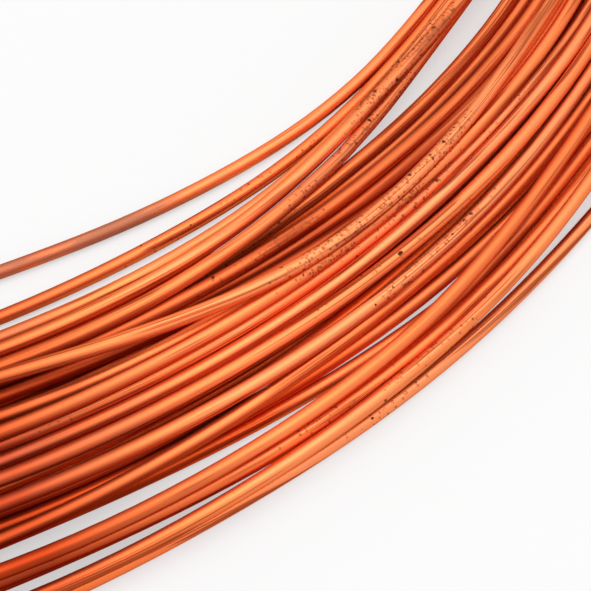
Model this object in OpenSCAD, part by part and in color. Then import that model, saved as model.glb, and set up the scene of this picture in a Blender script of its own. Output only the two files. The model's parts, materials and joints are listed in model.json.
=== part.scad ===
// Loose coil of bare round copper wire, lying flat.
// One turned solid with its bore. Round turns stand out side by side on both ends,
// and a plain core fills in for the turns buried between them.
// Millimetres, +Z up. The coil's axis is Z and it rests on the plane z = 0.

/* [Wire] */
// Diameter of the bare wire
wire_d = 1.6; // [1:0.1:2.5]

/* [Coil] */
// Clear diameter of the bore
bore_d = 256; // [180:1:340]
// Turns that lie side by side on each end
turns_across = 17; // [9:2:25]
// Space between neighbouring turns on an end
turn_gap = 0.4; // [0.1:0.05:0.8]
// Height at the bore and at the outside
rim_h = 4.2; // [3.5:0.1:6.5]
// Height at the crown, midway between the bore and the outside
crown_h = 8.4; // [7:0.1:14]

/* [Contact] */
// Depth to which the turns are rubbed flat where they touch a floor or a spindle
flat_depth = 0.06; // [0.02:0.01:0.15]

/* [Hidden] */
COPPER = "#e2743f";

wire_r = wire_d / 2;
bore_r = bore_d / 2;
last_turn = turns_across - 1;
turn_pitch = wire_d + turn_gap;
// Distance from a trimmed wall or floor to the centre of the turn that meets it
seat = wire_r - flat_depth;
outer_r = bore_r + last_turn * turn_pitch + 2 * seat;
end_turns = [for (k = [0:last_turn]) k];

// Radius of turn k, counted from the bore outwards
function turn_r(k) = bore_r + seat + k * turn_pitch;

// Place of turn k across the coil: -1 at the bore, 0 under the crown, 1 outside
function across(k) = 2 * k / last_turn - 1;

// Height of the centre of turn k on the upper end
function upper_z(k) = rim_h + (crown_h - rim_h) * (1 - across(k) ^ 2) - wire_r;

// Circles of the turns that show on the lower and the upper end
module end_turns_section() {
    for (k = end_turns) {
        translate([turn_r(k), seat])
            circle(d = wire_d, $fn = 48);
        translate([turn_r(k), upper_z(k)])
            circle(d = wire_d, $fn = 48);
    }
}

// Fill between the ends. Its edges run through the centres of the end turns,
// so each turn shows as a half round, and it reaches past both side walls.
module core_section() {
    inside = bore_r - flat_depth;
    outside = outer_r + flat_depth;
    polygon(concat(
        [[inside, upper_z(0)], [inside, seat], [outside, seat], [outside, upper_z(last_turn)]],
        [for (k = end_turns) [turn_r(last_turn - k), upper_z(last_turn - k)]]
    ));
}

// Space that the coil may fill: from the bore wall to the outer wall, above the floor
module room_section() {
    translate([bore_r, 0])
        square([outer_r - bore_r, crown_h + wire_d]);
}

// The whole coil, turned about its axis
module wire_coil() {
    color(COPPER)
        rotate_extrude($fn = 180)
            intersection() {
                union() {
                    core_section();
                    end_turns_section();
                }
                room_section();
            }
}

wire_coil();
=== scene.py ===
# %% [markdown]
# # A loose coil of copper wire
# One length of bare, round copper wire, wound by hand into a wide flat ring and left loose.
# The turns cross, bridge and drift apart, so daylight shows between some of them. The ring
# is built here turn by turn, as the real one was wound, around the coil's plain turned solid.

# %% Load the frame
import math
import json
import bmesh
import bpy
import numpy as np
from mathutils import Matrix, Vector


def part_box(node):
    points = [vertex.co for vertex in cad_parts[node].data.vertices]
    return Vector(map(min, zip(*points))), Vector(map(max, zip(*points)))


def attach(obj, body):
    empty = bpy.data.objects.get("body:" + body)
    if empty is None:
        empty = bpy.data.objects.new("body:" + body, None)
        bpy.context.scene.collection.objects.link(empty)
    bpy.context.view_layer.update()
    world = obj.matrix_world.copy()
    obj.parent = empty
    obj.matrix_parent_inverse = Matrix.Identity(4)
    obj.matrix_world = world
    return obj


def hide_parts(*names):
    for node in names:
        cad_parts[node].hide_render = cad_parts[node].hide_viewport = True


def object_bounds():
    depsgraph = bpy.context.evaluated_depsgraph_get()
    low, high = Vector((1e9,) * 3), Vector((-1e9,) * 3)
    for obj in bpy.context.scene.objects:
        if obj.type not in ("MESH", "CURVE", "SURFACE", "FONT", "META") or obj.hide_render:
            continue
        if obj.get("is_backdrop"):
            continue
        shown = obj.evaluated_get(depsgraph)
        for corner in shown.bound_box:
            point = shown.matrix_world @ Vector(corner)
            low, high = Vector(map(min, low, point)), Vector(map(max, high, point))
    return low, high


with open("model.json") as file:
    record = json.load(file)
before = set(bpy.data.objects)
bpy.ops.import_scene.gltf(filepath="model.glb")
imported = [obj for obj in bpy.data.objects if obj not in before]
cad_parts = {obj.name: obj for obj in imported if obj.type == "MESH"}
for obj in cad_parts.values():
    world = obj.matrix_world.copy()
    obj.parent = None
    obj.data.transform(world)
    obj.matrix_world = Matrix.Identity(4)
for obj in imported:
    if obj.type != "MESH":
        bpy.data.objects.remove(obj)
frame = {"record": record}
cad_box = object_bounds()
ring_low, ring_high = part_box("wire_coil")
mounts = {m["name"]: m for m in frame["record"]["mounts"]}
MM = 0.001
OUTER_R = ring_high.x / MM
BORE_R = mounts["bore"]["dims"]["r_mm"]
CROWN = ring_high.z / MM
MEAN_R = (OUTER_R + BORE_R) / 2
print(f"ring: bore {BORE_R:.1f} mm, outside {OUTER_R:.1f} mm, crown {CROWN:.1f} mm")

# %% [markdown]
# ## Camera
# A close view of a short stretch of the bundle, from outside the ring and well above it.
# Close-up lenses see little depth of field; here everything stays sharp, because blur would
# only hide the work. The camera is placed first: the strands that it sees are then listed one by one.

# %% Camera
# The rise is from the floor, lengths are in mm, and the lens is in mm of a 36 mm frame.
CAM_RISE = math.radians(60)
CAM_AWAY = 160.0
AIM_ANGLE = math.radians(-51.8)
AIM_R = MEAN_R - 1.7
AIM_Z = CROWN * 0.476
LENS = 91.0


def ring_point(radius, angle, height):
    """A point in mm, from its place round the ring."""
    return np.array([radius * math.cos(angle), radius * math.sin(angle), height])


def place_camera(eye, look):
    """The camera, at a point in mm, with its line of sight."""
    data = bpy.data.cameras.new("camera")
    data.lens = LENS
    data.clip_start = 0.01
    camera = bpy.data.objects.new("camera", data)
    bpy.context.scene.collection.objects.link(camera)
    camera.location = Vector(eye * MM)
    camera.rotation_euler = Vector(look).to_track_quat("-Z", "Y").to_euler()
    bpy.context.scene.camera = camera


look = np.array([0, math.cos(CAM_RISE), -math.sin(CAM_RISE)])
eye = ring_point(AIM_R, AIM_ANGLE, AIM_Z) - look * CAM_AWAY
place_camera(eye, look)
print("camera at", [round(v, 1) for v in eye], "mm")

# %% [markdown]
# ## Where the strands run
# Every turn of wire is one strand where the camera looks. Those on top are listed one by one:
# each row gives how far outside the ring's mean circle the strand lies, in mm, at nine
# angles round the ring. The strands beneath only fill the bundle, so one number does for
# each. They are laid in this order, so later rows lie over earlier ones.

# %% Lanes
WIRE = 1.6
SEEN_ANGLES = (-66, -62, -58, -54, -50, -46, -42, -38, -34)
UNDER_LANES = (
    (-10.2, -10.0), (-8.6, -8.5), (-7.0, -6.9), (-5.4, -5.3),
    (-3.8, -3.7), (-2.2, -2.1), (-0.6, -0.5), (1.0, 1.1),
    (2.9, 2.7), (4.4, 4.3), (2.0, 1.9), (0.2, 0.3),
    (-1.4, -1.3), (-3.0, -2.9), (-4.6, -4.5),
)
SEEN_LANES = {
    "inner_under": (-11.6, -11.6, -11.7, -12.1, -13.1, -14.1, -14.7, -15.1, -15.5),
    "inner_stray": (-22.1, -21.7, -20.8, -19.8, -19.1, -18, -17.5, -17.4, -17.7),
    "inner_edge": (-16.5, -16.3, -16.2, -16, -15.6, -15.4, -15.8, -16.3, -16.7),
    "fan_b": (-10.1, -9.8, -9.7, -9.5, -9.3, -8.9, -8.6, -8.5, -8.5),
    "left_a": (-7.7, -7.1, -6.5, -5.8, -5.1, -4.5, -4.1, -3.9, -3.9),
    "fan_a": (-10.1, -9.8, -9.7, -9.9, -10.1, -10.2, -10.1, -9.9, -9.9),
    "slip": (4.5, 4.6, 4.6, 4.1, 3.4, 2.9, 2.7, 2.4, 2.1),
    "low_c": (11.5, 11.6, 11.8, 12.1, 12, 11.7, 11.3, 10.8, 10.3),
    "outer_edge": (15.1, 14.7, 14.5, 14.5, 14.4, 14.2, 13.9, 13.7, 13.9),
    "mid_e": (5.3, 5.4, 5.8, 6.2, 6.3, 6.4, 6.3, 5.9, 5.4),
    "mid_c": (6.2, 6.3, 6.4, 6.7, 7.1, 7.2, 7.2, 7.2, 7.1),
    "mid_d": (7.2, 7.4, 7.7, 8.4, 9, 9.5, 9.7, 9.6, 9.4),
    "fan_d": (-9.1, -8.6, -7.9, -7.1, -6.5, -5.8, -5.2, -4.8, -4.6),
    "pair_in": (-2.2, -2, -1.8, -1.7, -1.7, -1.7, -1.7, -1.7, -1.4),
    "pair_out": (-0.7, -0.6, -0.4, -0.3, -0.3, -0.3, -0.3, -0.3, 0),
    "fan_c": (-9.7, -9.3, -8.7, -8.2, -7.7, -7.4, -7.1, -6.9, -6.8),
    "top_upper": (-14.1, -13.8, -13.4, -13.2, -13.3, -13.9, -14.7, -15.4, -16),
    "pitted": (-10.7, -10.2, -9.9, -10.4, -10.9, -11.4, -13.4, -14.2, -15),
    "top_lower": (-12.7, -12.4, -12.2, -12.2, -12.65, -13.7, -14.45, -14.7, -15.1),
    "flat_a": (-5.4, -4.7, -4.4, -4.3, -4.2, -4, -3.9, -3.9, -3.9),
    "rise": (-3.3, -3.3, -3.3, -3.2, -3.1, -3.1, -3.1, -3.1, -3.1),
    "plain": (1.4, 1.5, 1.6, 1.6, 1.7, 1.8, 1.9, 1.7, 1.5),
    "mid_a": (7.5, 6.9, 6.5, 6, 5.5, 5.4, 5.4, 5.1, 4.7),
    "bright": (3.9, 4.2, 4.3, 4.4, 4.4, 4.4, 4.1, 3.6, 3),
    "low_b": (11.2, 11.1, 11, 10.8, 10.5, 9.8, 8.9, 8.4, 8.1),
    "low_a": (11.3, 11.6, 11.7, 11.8, 11.5, 11.2, 10.8, 10.2, 9.8),
    "outer_fan": (14.4, 14.1, 13.7, 13.4, 13, 12.5, 11.8, 10.8, 10),
    "crosser": (10.8, 10.7, 10.5, 10.3, 9.9, 9, 7.6, 6.6, 5.9),
    "over": (-10.2, -8.6, -7, -5.1, -3.6, -3.8, -4.2, -5, -5.8),
}
seen = [np.array(lane) for lane in SEEN_LANES.values()]
under = [np.linspace(left, right, len(SEEN_ANGLES)) for left, right in UNDER_LANES]
turns = under + seen
TURNS = len(turns)
print(TURNS, "turns, of which", len(seen), "are laid by eye")

# %% [markdown]
# ## From lanes to one long wire
# Between one pass in front of the camera and the next, the wire drifts over to its next
# lane, wandering a little as hand winding does. Low-pass filtering stands for the wire's
# stiffness: copper this thick can't turn a sharp corner.

# %% Route
# Samples in a turn, and the smoothing of each part, in samples.
STEPS = 240
SEEN_BLUR = 9
DRIFT_BLUR = 35
# Degrees: the middle of the lanes, the stops between them, and where the lanes let go.
SEEN_MIDDLE = -50
STOPS = (52, 95, 140)
HELD_OUT_TO = 44
LET_GO_OVER = 28
# How far the wire wanders at a stop, in mm, and how evenly it fills the bundle's width.
WANDER = 1.8
SPREAD = 1.15
FILL = 0.84
rng = np.random.default_rng(7)


def blurred(values, width):
    """A row of values, smoothed over so many samples."""
    weights = np.hanning(width + 2)[1:-1]
    padded = np.pad(values, width // 2, mode="edge")
    return np.convolve(padded, weights / weights.sum(), mode="valid")


def eased(share):
    """0 to 1 with a soft start and end."""
    share = np.clip(share, 0, 1)
    return share * share * (3 - 2 * share)


def lay_route():
    """Each sample's lane, before anything rests on anything: one row per turn."""
    places, lanes = [], []
    first, last = SEEN_ANGLES[0] - SEEN_MIDDLE, SEEN_ANGLES[-1] - SEEN_MIDDLE
    gap = 360 - (last - first)
    for k, lane in enumerate(turns):
        before = turns[max(k - 1, 0)][-1]
        after = turns[min(k + 1, TURNS - 1)][0]
        for place in (-stop for stop in reversed(STOPS)):
            share = eased((place + 360 - last) / gap)
            places.append(360 * k + place)
            lanes.append(before + (lane[0] - before) * share + rng.normal() * WANDER)
        for angle, value in zip(SEEN_ANGLES, lane):
            places.append(360 * k + angle - SEEN_MIDDLE)
            lanes.append(value)
        for place in STOPS:
            share = eased((place - last) / gap)
            places.append(360 * k + place)
            lanes.append(lane[-1] + (after - lane[-1]) * share + rng.normal() * WANDER)
    at = np.arange(TURNS * STEPS) * 360 / STEPS - 180
    plain = np.interp(at, places, lanes)
    beside = (at + 180) % 360 - 180
    held = eased((HELD_OUT_TO - np.abs(beside)) / LET_GO_OVER)
    half = (OUTER_R - BORE_R - WIRE) / 2
    drifting = half * np.tanh(SPREAD * blurred(plain, DRIFT_BLUR) / half) / FILL
    drifting = np.clip(drifting, -half, half)
    route = held * blurred(plain, SEEN_BLUR) + (1 - held) * drifting
    return route.reshape(TURNS, STEPS), held.reshape(TURNS, STEPS), beside[:STEPS]


route, held, beside = lay_route()
angles = np.radians(beside + SEEN_MIDDLE)
print("route laid:", route.shape)

# %% [markdown]
# ## Letting the coil settle
# A wire that is simply drawn on its lane would run through its neighbours. The turns are
# dropped one after another, each onto whatever lies beneath it, and then the whole bundle is
# shaken down: gravity pulls, touching wires push each other apart, and stiffness irons out
# kinks. It works on cross-sections, because neighbouring wires run nearly side by side.
#
# It looks only at the samples, so it has a known fault. At one place on the far side of the
# ring two turns swap places between one sample and the next, and cut through each other.

# %% Settle
# In samples: the stiffness, and the reach of what a falling turn catches on.
STIFF = 15
DROP_BLUR = 9
CATCH = 2
# For each shake: the fall in mm, and the shares by which a turn is pulled towards its lane,
# anywhere and where the lane is seen.
FALL = 0.03
PULL = 0.02
HOLD = 0.45
# How much of an overlap a push clears, and how much of a kink the stiffness irons out: while
# the turns fall, while they rest, and in the last nudges.
PUSH = 0.7
LAST_PUSH = 0.6
IRON_FALLING = 0.8
IRON_RESTING = 0.56
IRON_LAST = 0.06


def leaning(lanes):
    """How far a strand moves outward for each mm of height, to look the same from the camera."""
    spots = np.stack([(MEAN_R + lanes) * np.cos(angles), (MEAN_R + lanes) * np.sin(angles),
                      np.full_like(lanes, AIM_Z)], -1)
    sight = spots - eye
    return (sight[..., 0] * np.cos(angles) + sight[..., 1] * np.sin(angles)) / sight[..., 2]


def highest_near(values, reach):
    """The highest value within so many samples, either way."""
    padded = np.pad(values, reach, mode="edge")
    return np.lib.stride_tricks.sliding_window_view(padded, 2 * reach + 1).max(-1)


def drop_turns(lanes, lean):
    """Lays each turn on the ones before it."""
    across = lanes.copy()
    up = np.full_like(lanes, WIRE / 2)
    for k in range(TURNS):
        for _ in range(4):
            across[k] = lanes[k] + lean[k] * (up[k] - AIM_Z)
            if k == 0:
                continue
            apart = np.abs(across[k] - across[:k])
            rest = up[:k] + np.sqrt(np.maximum(WIRE ** 2 - apart ** 2, 0))
            rest = np.where(apart < WIRE, rest, WIRE / 2).max(0)
            up[k] = blurred(highest_near(rest, CATCH), DROP_BLUR)
    return across, up


def settle(lanes, lean, hold, shakes=260, still=120, last_nudges=30):
    """Shakes the dropped turns down until they hardly overlap at any sample."""
    across, up = drop_turns(lanes, lean)

    def pushed(across, up, strength):
        sideways, upward = np.zeros_like(across), np.zeros_like(up)
        deepest = 0
        for k in range(1, TURNS):
            dx = across[k:] - across[:-k]
            dz = up[k:] - up[:-k]
            apart = np.sqrt(dx * dx + dz * dz) + 1e-6
            overlap = np.maximum(WIRE - apart, 0)
            deepest = max(deepest, overlap.max())
            push = overlap * strength / 2 / apart
            sideways[k:] += push * dx
            sideways[:-k] -= push * dx
            upward[k:] += push * dz
            upward[:-k] -= push * dz
        return across + sideways, np.maximum(up + upward, WIRE / 2), deepest

    def stiffened(across, up, strength):
        bend = across - lanes
        across = across + strength * (blurred(bend.ravel(), STIFF).reshape(bend.shape) - bend)
        up = up + strength * (blurred(up.ravel(), STIFF).reshape(up.shape) - up)
        return across, np.maximum(up, WIRE / 2)

    for shake in range(shakes):
        falling = shake < shakes - still
        up = up - (FALL if falling else 0)
        pull = (PULL if falling else 0) + HOLD * hold
        across = across + pull * (lanes + lean * (up - AIM_Z) - across)
        for _ in range(2 if falling else 3):
            across, up, _ = pushed(across, up, PUSH)
        across, up = stiffened(across, up, IRON_FALLING if falling else IRON_RESTING)
    for _ in range(last_nudges):
        across, up, deepest = pushed(across, up, LAST_PUSH)
        across, up = stiffened(across, up, IRON_LAST)
    print(f"settled: crown {up.max() + WIRE / 2:.2f} mm, overlap at a sample {deepest:.2f} mm at most")
    return across, up


across, up = settle(route, leaning(route) * held, held)

# %% [markdown]
# ## The centre line
# The settled turns are rows of samples, each row once round the ring. Strung together, and
# sampled again more finely on a smooth curve, they are the centre line of one long wire.

# %% Centre line
MESH_STEPS = 300


def fine(values):
    """The settled values on the mesh's finer steps, on a smooth (Catmull-Rom) curve."""
    row = values.ravel().astype(float)
    at = np.arange(0, len(row) - 1, STEPS / MESH_STEPS)
    i = np.clip(at.astype(int), 1, len(row) - 3)
    t = at - i
    a, b, c, d = row[i - 1], row[i], row[i + 1], row[i + 2]
    bend = a - 2.5 * b + 2 * c - d / 2
    turn_over = 1.5 * (b - c) + (d - a) / 2
    return b + t * ((c - a) / 2 + t * (bend + t * turn_over))


line_r = MEAN_R + fine(across)
line_z = fine(up)
line_angle = np.radians(np.arange(len(line_r)) * 360 / MESH_STEPS - 180 + SEEN_MIDDLE)
line = np.stack([line_r * np.cos(line_angle), line_r * np.sin(line_angle), line_z], -1) * MM
along = np.concatenate([[0], np.cumsum(np.linalg.norm(np.diff(line, axis=0), axis=1))])
outward = np.stack([np.cos(line_angle), np.sin(line_angle), np.zeros_like(line_angle)], -1)
print(f"wire: {along[-1]:.2f} m in {TURNS} turns")

# %% [markdown]
# ## The wire itself
# A bevelled curve is the natural way to make a wire: a circle swept along a centre line. It
# is turned into a mesh afterwards, so that each point can carry its own place on the wire:
# how far along it is, and where it sits in the round section. The finish is drawn in those
# coordinates, so that it follows every bend. The wire's two cut ends are a little pinched, as
# pliers leave them. The one long wire is split into stretches, which join end to end, because
# a single mesh of it would be too heavy.

# %% Wire
SIDES_STEP = 6
SIDES = 4 + 2 * SIDES_STEP
TURNS_A_PIECE = 12
PINCHED = 0.8


def swept(name, points, thickness):
    """A round wire along the points, as a mesh with flat ends."""
    curve = bpy.data.curves.new(name, "CURVE")
    curve.dimensions = "3D"
    curve.twist_mode = "Z_UP"
    curve.bevel_depth = WIRE / 2 * MM
    curve.bevel_resolution = SIDES_STEP
    curve.use_fill_caps = True
    spline = curve.splines.new("POLY")
    spline.points.add(len(points) - 1)
    spline.points.foreach_set("co", np.hstack([points, np.ones((len(points), 1))]).ravel())
    spline.points.foreach_set("radius", thickness)
    maker = bpy.data.objects.new(name + "_curve", curve)
    bpy.context.scene.collection.objects.link(maker)
    bpy.context.view_layer.update()
    mesh = bpy.data.meshes.new_from_object(maker.evaluated_get(bpy.context.evaluated_depsgraph_get()))
    bpy.data.objects.remove(maker)
    mesh.name = name
    return mesh


def add_wire_place(mesh, first, count):
    """Writes each point's distance along the wire and its place in the section, in metres."""
    spots = np.empty(len(mesh.vertices) * 3)
    mesh.vertices.foreach_get("co", spots)
    spots = spots.reshape(-1, 3)
    rings = np.repeat(np.arange(count), SIDES)
    # A known fault: the two flat ends come first in the mesh, but the last end before the first
    # one. Here they are matched the other way round, so each end gets the other's distance.
    ring = first + np.concatenate([np.zeros(SIDES, int), np.full(SIDES, count - 1), rings])
    off = spots - line[ring]
    furthest = np.linalg.norm(off, axis=1).max() / MM
    print(f"{mesh.name}: a point lies at most {furthest:.2f} mm from the sample it is matched to")
    side = (off * outward[ring]).sum(-1)
    place = mesh.attributes.new("wire_place", "FLOAT_VECTOR", "POINT")
    place.data.foreach_set("vector", np.stack([along[ring], side, off[:, 2]], -1).ravel())


def close_ends(mesh):
    """Joins the flat ends to the tube, and keeps the edge between them crisp."""
    bm = bmesh.new()
    bm.from_mesh(mesh)
    bmesh.ops.remove_doubles(bm, verts=bm.verts, dist=1e-6)
    bm.to_mesh(mesh)
    bm.free()
    mesh.set_sharp_from_angle(angle=math.radians(50))


def make_stretch(name, first, last):
    """One stretch of the wire, between two points of its centre line."""
    mesh = swept(name, line[first:last + 1], thickness[first:last + 1])
    add_wire_place(mesh, first, last + 1 - first)
    close_ends(mesh)
    piece = bpy.data.objects.new(name, mesh)
    bpy.context.scene.collection.objects.link(piece)
    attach(piece, "root")
    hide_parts("wire_coil")
    print(name, len(mesh.vertices), "points,", sum(len(p.vertices) - 2 for p in mesh.polygons), "triangles")
    return piece


thickness = np.ones(len(line))
thickness[[0, -1]] = PINCHED
a_piece = TURNS_A_PIECE * MESH_STEPS
wire_pieces = []
for first in range(0, len(line) - 1, a_piece):
    last = min(first + a_piece, len(line) - 1)
    wire_pieces.append(make_stretch(f"wire_stretch_{len(wire_pieces) + 1}", first, last))

# %% [markdown]
# ## Where the wire is worn
# Bare copper keeps the marks of its making and of the air. Some stretches are peppered with
# small dark pits, others are brown or show their drawing lines. Where the camera looks, they
# are listed: a strand, two angles, and how pitted, how brown and how lined it is. The
# rest of the wire gets soft patches of its own. Each kind of wear is one row of numbers, with
# a value for every step along the wire.

# %% Wear
# Steps over which a mark fades at its ends, and over which a soft patch is spread.
WEAR_SOFT = 1.2
PATCH_BLUR = 25
# Degrees from the middle of the lanes, past which random tarnish may start, and its fade.
KEPT_CLEAN = 32
CLEAN_FADE = 8
LINED_EVERYWHERE = 0.3
WEAR = (
    ("over", -52, -41, 1, 0, 0.3),
    ("top_lower", -43.5, -34, 1, 0.2, 0.6),
    ("top_upper", -42.8, -34, 1, 0.2, 0.6),
    ("pitted", -49, -39, 0.9, 0.3, 0.7),
    ("rise", -52, -42, 0.9, 0.1, 0.4),
    ("pair_in", -50, -43, 0.25, 0, 0.1),
    ("bright", -49.5, -43, 0.4, 0, 0.5),
    ("outer_fan", -51, -47, 0.4, 0, 0.4),
    ("outer_edge", -54, -50, 0.3, 0, 0.3),
    ("low_a", -56, -51, 0.25, 0, 0.4),
    ("fan_a", -56, -49, 0.35, 0, 0.5),
    ("fan_c", -55, -48, 0.3, 0, 0.5),
    ("inner_edge", -56, -44, 0.15, 0, 1),
    ("plain", -53, -43, 0.1, 0, 0.9),
    ("inner_stray", -72, -50, 0, 1, 0.2),
    # The rows below make five strands browner towards the left end of the view, which darkens that end.
    ("top_upper", -70, -61, 0, 0.3, 0.3),
    ("pair_in", -70, -60, 0, 0.15, 0.2),
    ("pair_out", -70, -58, 0, 0.25, 0.2),
    ("plain", -70, -60, 0, 0.2, 0.2),
    ("bright", -70, -62, 0, 0.2, 0.2),
)


def along_place(strand, angle):
    """The place of a named strand at an angle, in steps of the mesh along the wire."""
    turn = len(under) + list(SEEN_LANES).index(strand)
    return MESH_STEPS * (turn + (angle - SEEN_MIDDLE + 180) / 360)


def patches(share, strength):
    """Soft patches here and there along the whole wire."""
    rough = blurred(rng.random(len(line_r)), PATCH_BLUR)
    limit = np.quantile(rough, 1 - share)
    return strength * np.clip((rough - limit) / (rough.max() - limit), 0, 1)


def mark(layers):
    """Adds the listed wear to its rows, softly at the ends."""
    for strand, first, last, *amounts in WEAR:
        start, end = along_place(strand, first), along_place(strand, last)
        inside = np.minimum(steps - start, end - steps) / WEAR_SOFT + 0.5
        inside = np.clip(inside, 0, 1)
        for layer, amount in zip(layers, amounts):
            np.maximum(layer, amount * inside, out=layer)


steps = np.arange(len(line_r))
from_middle = np.abs((np.degrees(line_angle) - SEEN_MIDDLE + 180) % 360 - 180)
out_of_view = eased((from_middle - KEPT_CLEAN) / CLEAN_FADE)
pitted = patches(0.06, 1)
browned = patches(0.2, 0.6) * out_of_view
lined = LINED_EVERYWHERE + patches(0.3, 0.6)
mark((pitted, browned, lined))
print(f"wear: {len(WEAR)} stretches placed by eye, {100 * (pitted > 0.3).mean():.0f} % of the wire pitted")

# %% [markdown]
# ## Deep and pale copper: painted shade and light
# Away from the camera, copper's tone drifts along a wire and from turn to turn in soft random
# patches. Each strand that shows gets painted shade and painted light instead: a shade at
# three angles round the ring, from 1, deep red, to -1, pale, with a smooth run between them.
# Past them it joins the soft random shades of the rest of the wire.

# %% Shades
SHADE_ANGLES = (-96, -66, -56, -42, -26)
# Per strand, 1 is painted shade, deepest at the left end of the view and on strands that lie deep, and -1
# is painted light.
SHADE = {
    "inner_stray": (0.6, 0.1, -0.3), "inner_edge": (0.7, 0.2, 0), "top_upper": (0.6, -0.2, -0.4),
    "top_lower": (0.6, -0.3, -0.2), "pitted": (0.8, 0, -0.2), "fan_a": (0.8, 0.1, 0.2),
    "fan_b": (0.9, 0.1, 0.3), "fan_c": (1, 0.5, 0.4), "fan_d": (1, 0.8, 0.6),
    "left_a": (0.9, 0.9, 0.7), "over": (0.7, -0.2, -0.6), "flat_a": (0.8, -0.1, -0.3),
    "rise": (0.8, 0, -0.1), "pair_in": (1, -0.2, -0.8), "pair_out": (1, -0.2, -0.8),
    "plain": (0.9, 0, -0.2), "slip": (0.9, 0.1, 0), "bright": (1, -0.3, -0.7),
    "mid_a": (0.9, 0, 0.1), "mid_c": (0.9, 0.1, 0.2), "mid_d": (1, 0.1, 0.2),
    "mid_e": (0.9, 0.2, 0.2), "crosser": (1, 0, 0.2), "low_a": (1, 0, 0.1),
    "low_b": (1, 0.1, 0.3), "low_c": (1, 0.2, 0.2), "outer_fan": (0.8, -0.3, -0.2),
    "outer_edge": (0.2, -0.7, -0.5),
}


def shade_strands(shade):
    """Writes the strands' painted shade and painted light over the random tone."""
    for strand, tones in SHADE.items():
        places = [along_place(strand, angle) for angle in SHADE_ANGLES]
        here = (steps > places[0]) & (steps < places[-1])
        ends = np.interp((places[0], places[-1]), steps, shade)
        shade[here] = np.interp(steps[here], places, (ends[0], *tones, ends[1]))


shade = (patches(0.5, 0.8) - patches(0.5, 0.8)) * out_of_view
shade_strands(shade)
print(f"shades: {len(SHADE)} strands, from {shade.min():.1f} to {shade.max():.1f}")

# %% [markdown]
# ## Painted shade where the wire is buried
# Light that reaches a turn beneath the others has gone from copper to copper on its way, and
# each touch makes it redder. A renderer follows only a few such steps, so the material helps
# it with painted shade: each sample of the wire learns how much lies above it, and buried
# copper gets a redder painted tint. All the rows then go onto the meshes as attributes, which
# the material reads.

# %% Buried stretches
# In mm: how much higher a turn must lie to start and to finish covering, and how far aside.
CLEAR_RISE = 0.3
COVER_RISE = 0.8
COVER_REACH = 2.4
# The sum of the covers at which a sample starts to count as buried, and at which it is.
HALF_OPEN = 0.8
CLOSED = 1.3


def buried_share():
    """How far the turns that lie higher close over each sample, from 0 to 1."""
    rise = up[None] - up[:, None]
    apart = np.abs(across[None] - across[:, None])
    cover = eased((rise - CLEAR_RISE) / COVER_RISE) * np.clip(1 - apart / COVER_REACH, 0, 1)
    return eased((cover.sum(1) - HALF_OPEN) / (CLOSED - HALF_OPEN))


def add_wear_and_painted_shade(mesh):
    """Writes the wear, the painted shade and the painted light at each point of a mesh, from its place
    along the wire.
    """
    place = np.empty(len(mesh.vertices) * 3)
    mesh.attributes["wire_place"].data.foreach_get("vector", place)
    for name, amount in wear.items():
        layer = mesh.attributes.new(name, "FLOAT", "POINT")
        layer.data.foreach_set("value", np.interp(place[::3], along, amount))


# Painted shade for the turns that lie under others.
buried = fine(buried_share())
# Beside the wear, the shade row carries painted shade and painted light, and the buried row painted shade.
wear = {"pitted": pitted, "browned": browned, "lined": lined, "shade": shade, "buried": buried}
for piece in wire_pieces:
    add_wear_and_painted_shade(piece.data)
print(f"buried: {100 * (buried > 0.5).mean():.0f} % of the wire lies under other turns")

# %% [markdown]
# ## Tools for the finish
# A material is a net of nodes. Each effect of this copper is a node group of its own, built
# once, with named inputs and outputs. A few small helpers keep those groups readable: one
# adds a node, one starts a group, and the others do the sums that every effect needs.

# %% Tools for the finish
effects = {}


def add_node(tree, kind, sockets=None, **settings):
    """A shader node with its settings and its unlinked sockets' values."""
    node = tree.nodes.new("ShaderNode" + kind)
    for name, value in settings.items():
        setattr(node, name, value)
    for name, value in (sockets or {}).items():
        node.inputs[name].default_value = value
    return node


def start_group(name, inputs, outputs):
    """An empty node group with its sockets, its input node and its output node."""
    tree = bpy.data.node_groups.new(name, "ShaderNodeTree")
    for socket, kind in inputs:
        tree.interface.new_socket(socket, in_out="INPUT", socket_type="NodeSocket" + kind)
    for socket, kind in outputs:
        tree.interface.new_socket(socket, in_out="OUTPUT", socket_type="NodeSocket" + kind)
    return tree, tree.nodes.new("NodeGroupInput"), tree.nodes.new("NodeGroupOutput")


def soft_step(tree, value, start, end):
    """0 to 1 between two levels of a value, which may be sockets."""
    node = add_node(tree, "MapRange", interpolation_type="SMOOTHSTEP")
    tree.links.new(value, node.inputs["Value"])
    for name, level in (("From Min", start), ("From Max", end)):
        if isinstance(level, bpy.types.NodeSocket):
            tree.links.new(level, node.inputs[name])
        else:
            node.inputs[name].default_value = level
    return node.outputs["Result"]


def calculated(tree, operation, a, b):
    """One sum of two sockets or numbers."""
    node = add_node(tree, "Math", operation=operation)
    for slot, value in enumerate((a, b)):
        if isinstance(value, bpy.types.NodeSocket):
            tree.links.new(value, node.inputs[slot])
        else:
            node.inputs[slot].default_value = value
    return node.outputs[0]


print("node helpers ready")

# %% [markdown]
# ## The place on the wire
# Every effect starts from where a point sits on the wire, which the mesh carries as an
# attribute, so that the pattern follows each bend. Drawing turns a wire slowly about itself
# as it leaves the die, so a second set of coordinates turns a little with every millimetre.

# %% The place on the wire
TWIST = 0.012


def scaled(tree, vector, along, across):
    """The wire's place, stretched along it and across it."""
    node = add_node(tree, "VectorMath", operation="MULTIPLY")
    node.inputs[1].default_value = (along, across, across)
    tree.links.new(vector, node.inputs[0])
    return node.outputs[0]


def noise(tree, vector, detail=2.0, roughness=0.5):
    """Noise at a stretched place."""
    node = add_node(tree, "TexNoise", {"Scale": 1.0, "Detail": detail, "Roughness": roughness})
    tree.links.new(vector, node.inputs["Vector"])
    return node.outputs["Fac"]


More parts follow.
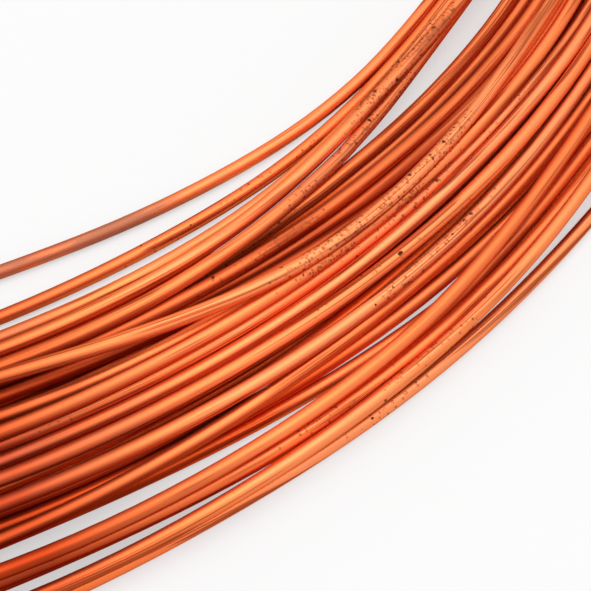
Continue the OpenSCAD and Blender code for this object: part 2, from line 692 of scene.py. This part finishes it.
def place_group():
    """The place on the wire in millimetres: as it is, and slowly turning about its axis."""
    tree, _, out = start_group("wire_place_mm", (), (("Straight", "Vector"), ("Turning", "Vector")))
    place = add_node(tree, "Attribute", attribute_name="wire_place")
    mm = scaled(tree, place.outputs["Vector"], 1 / MM, 1 / MM)
    parts = add_node(tree, "SeparateXYZ")
    tree.links.new(mm, parts.inputs[0])
    turn = add_node(tree, "VectorRotate", rotation_type="X_AXIS")
    tree.links.new(mm, turn.inputs["Vector"])
    tree.links.new(calculated(tree, "MULTIPLY", parts.outputs["X"], TWIST), turn.inputs["Angle"])
    tree.links.new(mm, out.inputs["Straight"])
    tree.links.new(turn.outputs[0], out.inputs["Turning"])
    return tree


effects["place"] = place_group()
print(f"place: the pattern turns {math.degrees(TWIST):.1f} degrees in a millimetre")

# %% [markdown]
# ## Drawing lines
# The die leaves fine lines along the wire. Noise that is stretched a hundredfold along it
# gives the streaks, and the thin level lines of a second, broader noise give the few dark
# scratches. They come and go, and they crowd where the wire is marked as lined.

# %% Drawing lines
def draw_lines_group():
    """Fine lines that run along the wire: dark ones, and a general streakiness."""
    tree, given, out = start_group("draw_lines", (("Place", "Vector"), ("Amount", "Float")),
                                   (("Dark", "Float"), ("Streak", "Float")))
    place = given.outputs["Place"]
    fine_lines = noise(tree, scaled(tree, place, 0.03, 4.5), 3.0, 0.65)
    broad = noise(tree, scaled(tree, place, 0.02, 1.1), 1.0)
    level = calculated(tree, "SUBTRACT", noise(tree, scaled(tree, place, 0.015, 1.7), 1.0), 0.5)
    thin = soft_step(tree, calculated(tree, "ABSOLUTE", level, 0), 0.07, 0.025)
    both = calculated(tree, "MAXIMUM", soft_step(tree, fine_lines, 0.45, 0.36), thin)
    start = calculated(tree, "MULTIPLY", given.outputs["Amount"], -0.3)
    start = calculated(tree, "ADD", start, 0.58)
    come_and_go = soft_step(tree, noise(tree, scaled(tree, place, 0.06, 0.9), 1.0), start,
                            calculated(tree, "ADD", start, 0.15))
    tree.links.new(calculated(tree, "MULTIPLY", both, come_and_go), out.inputs["Dark"])
    mixed = calculated(tree, "ADD", calculated(tree, "MULTIPLY", fine_lines, 0.6),
                       calculated(tree, "MULTIPLY", broad, 0.4))
    tree.links.new(soft_step(tree, mixed, 0.3, 0.7), out.inputs["Streak"])
    return tree


effects["lines"] = draw_lines_group()
print("lines:", len(effects["lines"].nodes), "nodes")

# %% [markdown]
# ## Specks and pits
# Moisture eats small dark specks into bare copper, and a few deeper pits. Both are the
# feature points of a cell pattern, kept only in as many cells as the wear allows, and with a
# ragged rim. They lie in loose rows, because the drawing lines hold the damp.

# %% Specks and pits
def cell_spots(tree, place, along, across, allowed, smallest, spread):
    """Ragged spots, one in each cell that is allowed to have one."""
    cells = add_node(tree, "TexVoronoi", {"Scale": 1.0, "Randomness": 1.0})
    tree.links.new(scaled(tree, place, along, across), cells.inputs["Vector"])
    chance = add_node(tree, "SeparateColor")
    tree.links.new(cells.outputs["Color"], chance.inputs[0])
    ragged = noise(tree, scaled(tree, place, 3 * along, 3 * across), 2.0)
    ragged = calculated(tree, "MULTIPLY", calculated(tree, "SUBTRACT", ragged, 0.5), 0.5)
    distance = calculated(tree, "ADD", cells.outputs["Distance"], ragged)
    size = calculated(tree, "ADD", calculated(tree, "MULTIPLY", chance.outputs["Green"], spread), smallest)
    spot = soft_step(tree, distance, size, calculated(tree, "MULTIPLY", size, 0.6))
    depth = calculated(tree, "ADD", calculated(tree, "MULTIPLY", chance.outputs["Blue"], 0.6), 0.4)
    there = calculated(tree, "LESS_THAN", chance.outputs["Red"], allowed)
    return calculated(tree, "MULTIPLY", calculated(tree, "MULTIPLY", spot, depth), there)


def pits_group():
    """Rows of brown specks, and a few deep pits, as many as the wear allows."""
    tree, given, out = start_group("pits", (("Place", "Vector"), ("Amount", "Float")),
                                   (("Specks", "Float"), ("Pits", "Float")))
    place, amount = given.outputs["Place"], given.outputs["Amount"]
    rows = soft_step(tree, noise(tree, scaled(tree, place, 0.12, 1.0), 1.0), 0.34, 0.5)
    crowd = calculated(tree, "MULTIPLY", amount, rows)
    specks = cell_spots(tree, place, 2.7, 2.1, crowd, 0.36, 0.3)
    tree.links.new(specks, out.inputs["Specks"])
    few = calculated(tree, "MULTIPLY", crowd, 0.2)
    tree.links.new(cell_spots(tree, place, 1.7, 1.5, few, 0.3, 0.22), out.inputs["Pits"])
    return tree


effects["pits"] = pits_group()
print("pits:", len(effects["pits"].nodes), "nodes")

# %% [markdown]
# ## Tarnish
# Where copper was touched or lay damp, it goes brown in soft clouds. Plain noise, drawn out
# along the wire and cut off softly, does for them.

# %% Tarnish
def brown_group():
    """Cloudy brown patches."""
    tree, given, out = start_group("tarnish", (("Place", "Vector"), ("Amount", "Float")),
                                   (("Brown", "Float"),))
    clouds = noise(tree, scaled(tree, given.outputs["Place"], 0.09, 0.6), 4.0, 0.6)
    cloudy = soft_step(tree, clouds, 0.3, 0.6)
    tree.links.new(calculated(tree, "MULTIPLY", cloudy, given.outputs["Amount"]), out.inputs["Brown"])
    return tree


effects["tarnish"] = brown_group()
print("tarnish:", len(effects["tarnish"].nodes), "nodes")

# %% [markdown]
# ## Nicks
# A few single nicks stand out, dark and a little ragged. Each one is listed: its
# strand, its angle round the ring, how far it is tilted from the top of the section in
# degrees, and its length and width in millimetres.

# %% Nicks
NICKS = (
    ("plain", -47.4, 20, 0.8, 0.55),
    ("bright", -45, 0, 0.4, 0.25),
    ("bright", -49.7, 40, 0.3, 0.4),
    ("over", -43.4, 25, 0.35, 0.3),
    ("top_upper", -41.6, 20, 0.5, 0.4),
    ("outer_edge", -52.5, 25, 0.45, 0.3),
    ("inner_edge", -53, 30, 0.3, 0.25),
)


def nicks_group():
    """The few deep nicks that are placed by eye."""
    tree, given, out = start_group("nicks", (("Place", "Vector"),), (("Nicks", "Float"),))
    ragged = noise(tree, scaled(tree, given.outputs["Place"], 4.0, 4.0), 2.0)
    ragged = calculated(tree, "MULTIPLY", calculated(tree, "SUBTRACT", ragged, 0.5), 0.9)
    total = None
    for strand, angle, tilt, length, width in NICKS:
        tilt = math.radians(tilt)
        where = np.interp(along_place(strand, angle), steps, along) / MM
        off = add_node(tree, "VectorMath", operation="SUBTRACT")
        tree.links.new(given.outputs["Place"], off.inputs[0])
        off.inputs[1].default_value = (where, WIRE / 2 * math.sin(tilt), WIRE / 2 * math.cos(tilt))
        away = add_node(tree, "VectorMath", operation="LENGTH")
        tree.links.new(scaled(tree, off.outputs[0], 2 / length, 2 / width), away.inputs[0])
        nick = soft_step(tree, calculated(tree, "ADD", away.outputs["Value"], ragged), 1.0, 0.6)
        total = nick if total is None else calculated(tree, "MAXIMUM", total, nick)
    tree.links.new(total, out.inputs["Nicks"])
    return tree


effects["nicks"] = nicks_group()
print("nicks:", len(NICKS))

# %% [markdown]
# ## Copper
# The colour of bare copper comes from the metal itself, so the base colour is copper's own
# and the surface is fully metallic. Light that goes from strand to strand comes back redder
# each time, which warms the grooves; the lower half of each section helps it with a redder
# tint, a painted shade. The effects, painted shade and painted light among them, are laid
# over that colour one by one, the deepest marks last.

# %% Copper
COPPER = (0.89, 0.21, 0.06, 1)
# Painted shade: the tint of the lower half of each section.
UNDERSIDE_SHADE = (0.80, 0.23, 0.06, 1)
# Painted shade: the redder tint of turns that lie under others.
BURIED_SHADE = (0.90, 0.12, 0.02, 1)
# Pale: the colour of the drawing streaks, and painted light together with random paler tone.
PALE_STREAKS_AND_LIGHT = (0.95, 0.36, 0.16, 1)
# Deep: painted shade together with random deeper tone.
DEEP_TONE_AND_SHADE = (0.36, 0.034, 0.007, 1)
EDGE = (0.55, 0.17, 0.07, 1)
LINE = (0.30, 0.045, 0.015, 1)
BROWN = (0.36, 0.16, 0.10, 1)
SPECK = (0.24, 0.05, 0.02, 1)
PIT = (0.09, 0.022, 0.010, 1)
# Heights in the section, in mm, between which the copper turns to the painted shade of the lower half.
UNDERSIDE_SHADE_FROM = 0.2
UNDERSIDE_SHADE_TO = -0.2
# Roughness: of clean copper, and what streaks, tarnish and pits add.
ROUGH = 0.44
ROUGH_STREAK = 0.10
ROUGH_BROWN = 0.15
ROUGH_PIT = 0.3
# The depth of the marks, in metres.
MARK_DEPTH = 0.03 * MM
# Places of the colour sockets on a Mix node.
MIX_SHARE, MIX_BELOW, MIX_ABOVE, MIX_RESULT = 0, 6, 7, 2


def effect(tree, name, **inputs):
    """One of the effects, placed in a material."""
    node = add_node(tree, "Group", node_tree=effects[name])
    for socket, source in inputs.items():
        tree.links.new(source, node.inputs[socket])
    return node.outputs


def per_point_amount(tree, kind):
    """One attribute's amount at each point: the wear, the painted shade and the painted light all come this
    way.
    """
    return add_node(tree, "Attribute", attribute_name=kind).outputs["Fac"]


def section_up(tree, place):
    """The height of a point above the wire's own middle, in millimetres."""
    parts = add_node(tree, "SeparateXYZ")
    tree.links.new(place, parts.inputs[0])
    return parts.outputs["Z"]


def tinted(tree, below, colour, mask, most):
    """A colour laid over another, as far as a mask says."""
    node = add_node(tree, "Mix", data_type="RGBA")
    tree.links.new(calculated(tree, "MULTIPLY", mask, most), node.inputs[MIX_SHARE])
    if isinstance(below, bpy.types.NodeSocket):
        tree.links.new(below, node.inputs[MIX_BELOW])
    else:
        node.inputs[MIX_BELOW].default_value = below
    node.inputs[MIX_ABOVE].default_value = colour
    return node.outputs[MIX_RESULT]


def copper_material():
    """Bare drawn copper with its lines, pits and brown patches."""
    material = bpy.data.materials.new("copper_wire")
    material.use_nodes = True
    tree = material.node_tree
    shader = tree.nodes["Principled BSDF"]
    places = effect(tree, "place")
    place = places["Turning"]
    lines = effect(tree, "lines", Place=place, Amount=per_point_amount(tree, "lined"))
    marks = effect(tree, "pits", Place=place, Amount=per_point_amount(tree, "pitted"))
    nicks = effect(tree, "nicks", Place=places["Straight"])["Nicks"]
    pits = calculated(tree, "MAXIMUM", marks["Pits"], nicks)
    brown = effect(tree, "tarnish", Place=place, Amount=per_point_amount(tree, "browned"))["Brown"]
    shade = per_point_amount(tree, "shade")
    # Where the shade is above nought it is painted shade, where below, painted light; away from the camera
    # it is random tone.
    deeper_tone_and_shade = calculated(tree, "MAXIMUM", shade, 0)
    paler_tone_and_light = calculated(tree, "MAXIMUM", calculated(tree, "MULTIPLY", shade, -1), 0)
    # Painted shade on the lower half of each section.
    lower_half_shade = soft_step(tree, section_up(tree, places["Straight"]), UNDERSIDE_SHADE_FROM, UNDERSIDE_SHADE_TO)
    layers = (
        (UNDERSIDE_SHADE, lower_half_shade, 1.0), (PALE_STREAKS_AND_LIGHT, lines["Streak"], 0.25), (BURIED_SHADE, per_point_amount(tree, "buried"), 0.9),
        (DEEP_TONE_AND_SHADE, deeper_tone_and_shade, 1.0), (PALE_STREAKS_AND_LIGHT, paler_tone_and_light, 0.9), (LINE, lines["Dark"], 0.8),
        (BROWN, brown, 0.8), (SPECK, marks["Specks"], 0.8), (PIT, pits, 0.95),
    )
    colour = COPPER
    for tint, mask, most in layers:
        colour = tinted(tree, colour, tint, mask, most)
    tree.links.new(colour, shader.inputs["Base Color"])
    shader.inputs["Metallic"].default_value = 1
    shader.inputs["Specular Tint"].default_value = EDGE
    rough = calculated(tree, "ADD", calculated(tree, "MULTIPLY", lines["Streak"], ROUGH_STREAK), ROUGH)
    rough = calculated(tree, "ADD", rough, calculated(tree, "MULTIPLY", brown, ROUGH_BROWN))
    rough = calculated(tree, "ADD", rough, calculated(tree, "MULTIPLY", pits, ROUGH_PIT))
    tree.links.new(rough, shader.inputs["Roughness"])
    height = calculated(tree, "SUBTRACT", calculated(tree, "MULTIPLY", lines["Streak"], 0.3),
                        calculated(tree, "ADD", calculated(tree, "MULTIPLY", lines["Dark"], 0.4),
                                   calculated(tree, "ADD", pits, marks["Specks"])))
    bump = add_node(tree, "Bump", {"Strength": 0.6, "Distance": MARK_DEPTH})
    tree.links.new(height, bump.inputs["Height"])
    tree.links.new(bump.outputs["Normal"], shader.inputs["Normal"])
    return material


copper = copper_material()
for piece in wire_pieces:
    piece.data.materials.clear()
    piece.data.materials.append(copper)
print("copper:", len(copper.node_tree.nodes), "nodes")

# %% [markdown]
# ## Floor
# A sheet of pale paper. Its own colour takes the coil's soft shadow, and a little glow, which
# only the camera and reflections see, lifts it to white without adding light to the coil.

# %% Floor
FLOOR_SIZE = 20.0
PAPER = (0.28, 0.28, 0.28, 1)
PAPER_GLOW = 0.5


def paper_material():
    """Pale paper that takes a soft shadow, and is near white to the eye and in reflections."""
    material = bpy.data.materials.new("white_paper")
    material.use_nodes = True
    tree = material.node_tree
    tree.nodes.clear()
    path = add_node(tree, "LightPath").outputs
    looked_at = calculated(tree, "MAXIMUM", path["Is Camera Ray"], path["Is Glossy Ray"])
    looked_at = calculated(tree, "MAXIMUM", looked_at, path["Is Transmission Ray"])
    diffuse = add_node(tree, "BsdfDiffuse", {"Color": PAPER})
    glow = add_node(tree, "Emission")
    tree.links.new(calculated(tree, "MULTIPLY", looked_at, PAPER_GLOW), glow.inputs["Strength"])
    both = add_node(tree, "AddShader")
    tree.links.new(diffuse.outputs[0], both.inputs[0])
    tree.links.new(glow.outputs[0], both.inputs[1])
    out = add_node(tree, "OutputMaterial")
    tree.links.new(both.outputs[0], out.inputs["Surface"])
    return material


def lay_floor():
    """A flat sheet of paper under the coil."""
    mesh = bpy.data.meshes.new("floor")
    bm = bmesh.new()
    bmesh.ops.create_grid(bm, x_segments=1, y_segments=1, size=FLOOR_SIZE / 2)
    bm.to_mesh(mesh)
    bm.free()
    mesh.materials.append(paper_material())
    floor = bpy.data.objects.new("floor", mesh)
    bpy.context.scene.collection.objects.link(floor)
    floor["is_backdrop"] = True


lay_floor()
print(f"floor: {FLOOR_SIZE} m of paper")

# %% [markdown]
# ## Light
# Shiny metal shows its surroundings, so it needs something even and large to look at: a
# light tent all round, a little below white, and one big softbox overhead that draws a broad
# sheen along each strand. A small lamp would leave a hard bright stripe on every turn.

# %% Light
TENT = 0.95
SOFTBOX_AT = (-0.1, -0.2, 1.5)
SOFTBOX_SIZE = 1.8
SOFTBOX_WATTS = 25


def light_tent():
    """Even light from all round, which looks white where the camera sees it."""
    world = bpy.data.worlds.new("light_tent")
    bpy.context.scene.world = world
    world.use_nodes = True
    tree = world.node_tree
    sky = tree.nodes["Background"]
    sky.inputs["Color"].default_value = (1, 1, 1, 1)
    seen_part = calculated(tree, "MULTIPLY", add_node(tree, "LightPath").outputs["Is Camera Ray"], 1 - TENT)
    tree.links.new(calculated(tree, "ADD", seen_part, TENT), sky.inputs["Strength"])


def softbox(name, place, target, size, watts):
    """A square area light that faces a point."""
    light = bpy.data.lights.new(name, "AREA")
    light.size = size
    light.energy = watts
    box = bpy.data.objects.new(name, light)
    bpy.context.scene.collection.objects.link(box)
    box.location = place
    box.rotation_euler = (Vector(target) - Vector(place)).to_track_quat("-Z", "Y").to_euler()


light_tent()
softbox("key_softbox", SOFTBOX_AT, (0, 0, 0), SOFTBOX_SIZE, SOFTBOX_WATTS)
bpy.context.scene.view_settings.view_transform = "Standard"
print(f"light: tent at {TENT}, one softbox of {SOFTBOX_SIZE} m")

# %% [markdown]
# ## Size and finish
# The wound wire should fill the space of the turned solid that it stands for, no more. Both
# boxes are written down, so that they can be compared.

# %% Size and finish
boxes = {"cad": cad_box, "visual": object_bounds()}
for name, (low, high) in boxes.items():
    print(name, "box:", [round((top - bottom) / MM, 1) for bottom, top in zip(low, high)], "mm")
